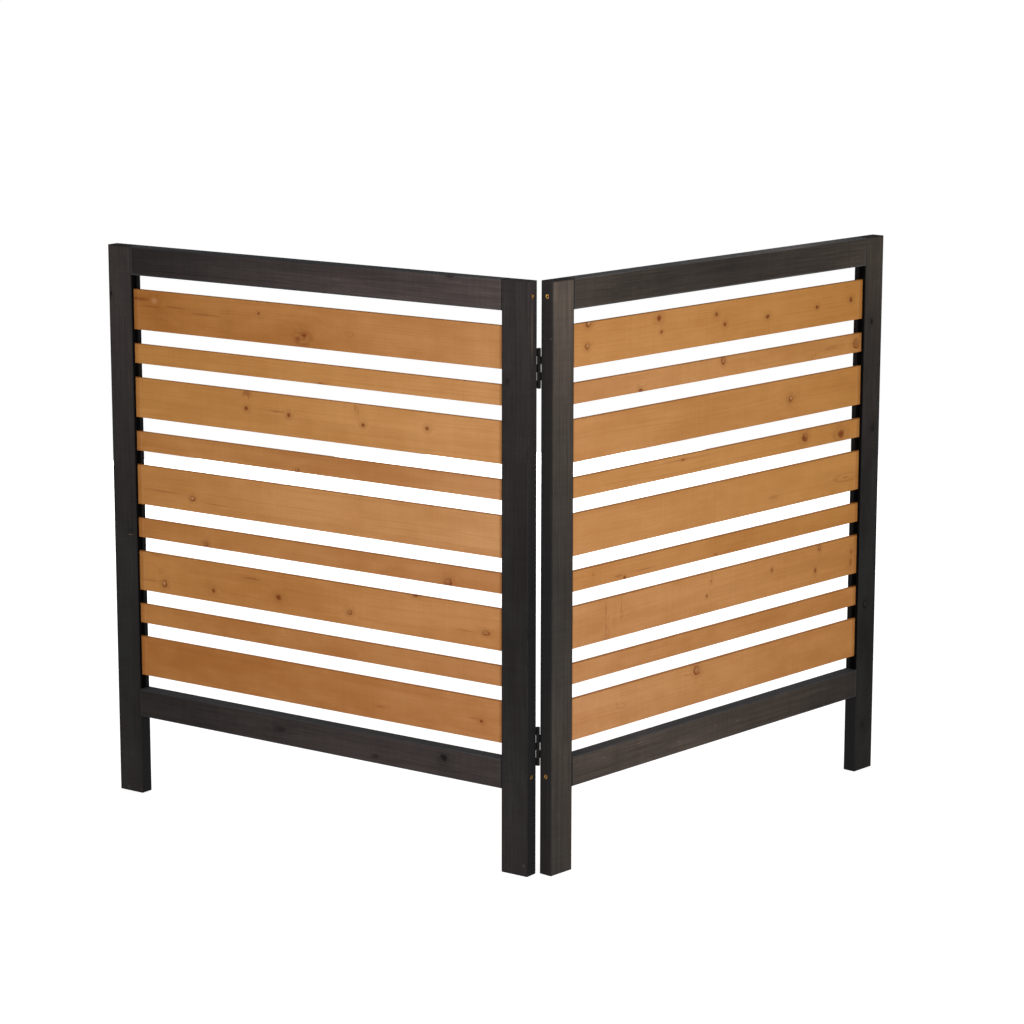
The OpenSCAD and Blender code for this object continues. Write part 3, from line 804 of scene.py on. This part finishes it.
def dress_panels():
    """Puts wood on every board of both panels."""
    for side in SIDES:
        for number in SLAT_NUMBERS:
            board = Board(side, f"slat_{number}", upright=False)
            seed = FIRST_SEEDS[side] + number
            marks = SLAT_MARKS[side].get(number, ())
            stain = SLAT_STAINS[side][number - 1]
            dress(board.piece, wood_material(board, SLAT_LOOK, seed, marks, stain))
        for place, (part, groove) in enumerate(FRAME_PARTS.items()):
            board = Board(side, part, upright=groove is not None)
            seed = FIRST_SEEDS[side] + FRAME_SEED_STEP + place
            look = STILE_LOOK if groove else RAIL_LOOK
            marks = FRAME_MARKS.get(board.name, ())
            fade_and_light_stops = FRAME_FADE_AND_LIGHT_STOPS[board.name]
            dress(board.piece, wood_material(board, look, seed, marks, FRAME_STAIN, fade_and_light_stops, groove))


def dress_metal():
    """Puts metal on the hinges, screws and brads."""
    black = metal_material("hinge_black")
    steel = metal_material("brad_steel")
    for hinge in HINGES:
        for part in ("left_leaf", "right_leaf", "pin"):
            dress(frame["nodes"][f"{hinge}_hinge_{part}"], black)
    for side in SIDES:
        stile = Board(side, "hinge_stile", upright=True)
        brass = metal_material("screw_brass", stile)
        dress(frame["nodes"][f"{side}_hinge_screws"], black)
        dress(frame["nodes"][f"{side}_frame_screws"], brass)
        dress(frame["nodes"][f"{side}_slat_brads"], steel)


def add_camera():
    """The camera at the photograph's place and angle."""
    turn, down, roll = (math.radians(a) for a in (CAMERA_TURN, CAMERA_DOWN, CAMERA_ROLL))
    ahead = Vector((math.sin(turn) * math.cos(down), math.cos(turn) * math.cos(down), -math.sin(down)))
    level = Vector((math.cos(turn), -math.sin(turn), 0))
    upward = level.cross(ahead)
    right = math.cos(roll) * level + math.sin(roll) * upward
    top = math.cos(roll) * upward - math.sin(roll) * level
    data = bpy.data.cameras.new("camera")
    data.lens = CAMERA_LENS
    data.sensor_width = SENSOR_WIDTH
    data.clip_end = CLIP_END
    camera = bpy.data.objects.new("camera", data)
    axes = Matrix((right, top, -ahead)).transposed()
    camera.matrix_world = Matrix.Translation(CAMERA_PLACE) @ axes.to_4x4()
    bpy.context.scene.collection.objects.link(camera)
    bpy.context.scene.camera = camera


def add_lamp(name, place, size, power, in_gloss):
    """A soft square lamp that the camera doesn't see."""
    data = bpy.data.lights.new(name, "AREA")
    data.shape = "SQUARE"
    data.size = size
    data.energy = power
    lamp = bpy.data.objects.new(name, data)
    lamp.location = place
    aim = Vector(LAMP_TARGET) - Vector(place)
    lamp.rotation_euler = aim.to_track_quat("-Z", "Y").to_euler()
    lamp.visible_camera = False
    lamp.visible_glossy = in_gloss
    bpy.context.scene.collection.objects.link(lamp)


def shown_rays(n):
    """1 for rays that show the background: from the camera, a gloss or through glass."""
    rays = n.tree.nodes.new("ShaderNodeLightPath").outputs
    shown = n.math("MAXIMUM", rays["Is Camera Ray"], rays["Is Glossy Ray"])
    return n.math("MAXIMUM", shown, rays["Is Transmission Ray"])


def add_world():
    """A plain world: white where it shows, softer where it lights."""
    world = bpy.data.worlds.new("studio")
    world.use_nodes = True
    bpy.context.scene.world = world
    n = Nodes(world.node_tree)
    background = world.node_tree.nodes["Background"]
    background.inputs["Color"].default_value = WHITE
    n.feed(background.inputs["Strength"], n.spread(shown_rays(n), 0.0, 1.0, WORLD_LIGHT, 1.0))


def add_floor():
    """A wide pale floor that keeps the object's shadow."""
    bpy.ops.mesh.primitive_circle_add(vertices=FLOOR_SIDES, radius=FLOOR_RADIUS, fill_type="NGON")
    floor = bpy.context.object
    floor.name = "floor"
    material, n, shader = new_material("floor_white")
    shader.inputs["Base Color"].default_value = linear(FLOOR_WHITE)
    shader.inputs["Roughness"].default_value = FLOOR_ROUGHNESS
    shader.inputs["Specular IOR Level"].default_value = 0.0
    shader.inputs["Emission Color"].default_value = WHITE
    n.feed(shader.inputs["Emission Strength"], n.times(shown_rays(n), FLOOR_GLOW))
    floor.data.materials.append(material)


MARK = mark_group()
FIGURE = figure_group()
FACES = face_group()

dress_panels()
dress_metal()
add_camera()
add_world()
for lamp_name, lamp_values in LAMPS.items():
    add_lamp(lamp_name, *lamp_values)
add_floor()
bpy.context.scene.view_settings.view_transform = "Standard"
